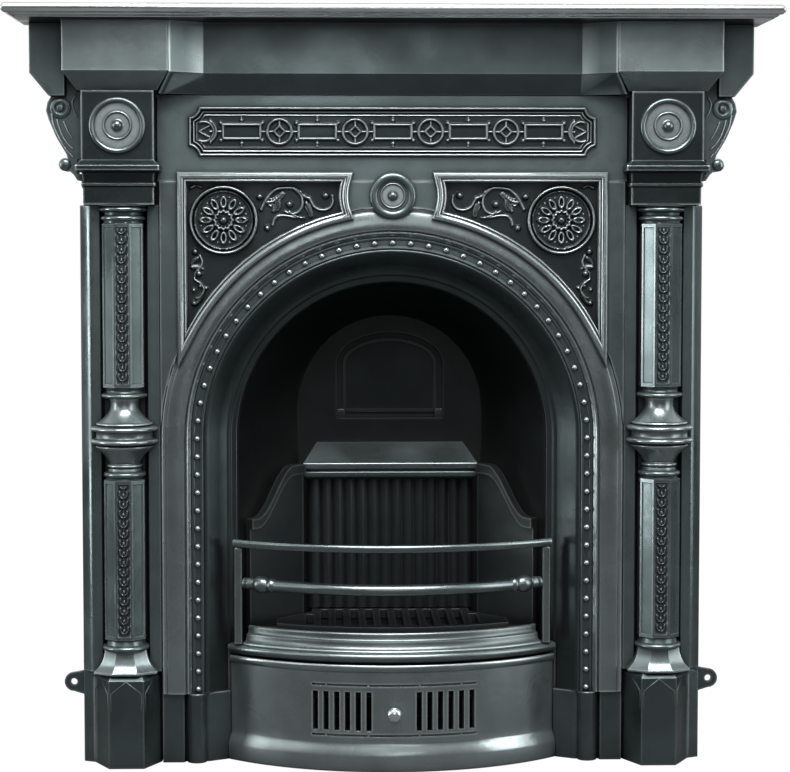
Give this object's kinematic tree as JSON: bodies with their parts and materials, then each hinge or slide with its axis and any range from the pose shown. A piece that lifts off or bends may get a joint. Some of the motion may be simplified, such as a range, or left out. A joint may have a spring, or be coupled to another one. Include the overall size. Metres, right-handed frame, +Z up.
{
  "type": "cast iron fireplace",
  "caption": "Cast iron fireplace: mantel shelf on brackets, octagonal columns, beaded arched opening, bowed fire bars over an ash pan cover with a sliding air vent.",
  "frame": {"origin": "on the floor, midway across the fireplace, midway between the shelf's front edge and the back of the flue frame, which is the plane of the wall it stands against", "axes": "+X across the chimney breast to the right as it is faced, +Y back into the chimney, +Z up"},
  "size_m": [0.965, 0.26, 0.965],
  "materials": {
    "shelf_iron": "polished along its moulded edge, satin on top",
    "blacked_iron": "black-leaded, burnished on the high spots",
    "polished_iron": "burnished bright, with dark recesses",
    "sooted_iron": "dull black, sooted"
  },
  "bodies": {
    "surround": {"mantel_shelf": "shelf_iron", "frieze_box": "blacked_iron", "frieze_plate": "blacked_iron", "fret_panel": "blacked_iron", "centre_medallion": "blacked_iron", "arch_band": "blacked_iron", "bead_ring": "blacked_iron", "reveal": "blacked_iron", "shelf_bolt_left": "blacked_iron", "shelf_bolt_right": "blacked_iron", "bracket_left": "blacked_iron", "bracket_right": "blacked_iron", "wing_left": "blacked_iron", "wing_right": "blacked_iron", "cap_block_left": "blacked_iron", "cap_block_right": "blacked_iron", "cap_roundel_left": "blacked_iron", "cap_roundel_right": "blacked_iron", "console_left": "blacked_iron", "console_right": "blacked_iron", "jamb_left": "blacked_iron", "jamb_right": "blacked_iron", "upper_shaft_left": "blacked_iron", "upper_shaft_right": "blacked_iron", "lower_shaft_left": "blacked_iron", "lower_shaft_right": "blacked_iron", "plinth_left": "blacked_iron", "plinth_right": "blacked_iron", "foot_left": "blacked_iron", "foot_right": "blacked_iron", "spandrel_plate_left": "blacked_iron", "spandrel_plate_right": "blacked_iron", "spandrel_carving_left": "blacked_iron", "spandrel_carving_right": "blacked_iron", "knop_left": "polished_iron", "knop_right": "polished_iron", "spandrel_frame_left": "polished_iron", "spandrel_frame_right": "polished_iron", "apron_rail": "polished_iron", "cheek_left": "sooted_iron", "cheek_right": "sooted_iron", "casing": "sooted_iron", "fireback": "sooted_iron", "flue_frame": "sooted_iron", "flap_pin": "sooted_iron", "back_ledge": "sooted_iron", "reeded_back": "sooted_iron", "grate_bearer": "sooted_iron"},
    "damper": {"damper_flap": "sooted_iron"},
    "grate": {"bottom_grate": "sooted_iron"},
    "front_bars": {"post_left": "polished_iron", "post_right": "polished_iron", "top_bar": "polished_iron", "turned_bar": "polished_iron"},
    "cover": {"ash_cover": "polished_iron"},
    "slider": {"air_slider": "sooted_iron", "slider_knob": "polished_iron"},
    "pan": {"ash_pan": "sooted_iron", "pan_handle": "sooted_iron"}
  },
  "joints": [
    {"name": "damper_tilt", "type": "hinge", "parent": "surround", "child": "damper", "pos_m": [0, 0.1242, 0.437], "axis": [-1, 0, 0], "range_deg": [0, 70]},
    {"name": "grate_lift", "type": "slide", "parent": "surround", "child": "grate", "axis": [0, 0, 1], "range_m": [0, 0.03]},
    {"name": "bars_lift", "type": "slide", "parent": "surround", "child": "front_bars", "axis": [0, 0, 1], "range_m": [0, 0.03]},
    {"name": "cover_pull", "type": "slide", "parent": "surround", "child": "cover", "axis": [0, -1, 0], "range_m": [0, 0.18]},
    {"name": "pan_slide", "type": "slide", "parent": "surround", "child": "pan", "axis": [0, -1, 0], "range_m": [0, 0.18]},
    {"name": "air_slide", "type": "hinge", "parent": "cover", "child": "slider", "pos_m": [0, 0.22214, 0.0755], "axis": [0, 0, 1], "range_deg": [-1.27, 1.27]}
  ],
  "couplings": [
    {"joint": "pan_slide", "follows": "cover_pull", "ratio": 1}
  ]
}
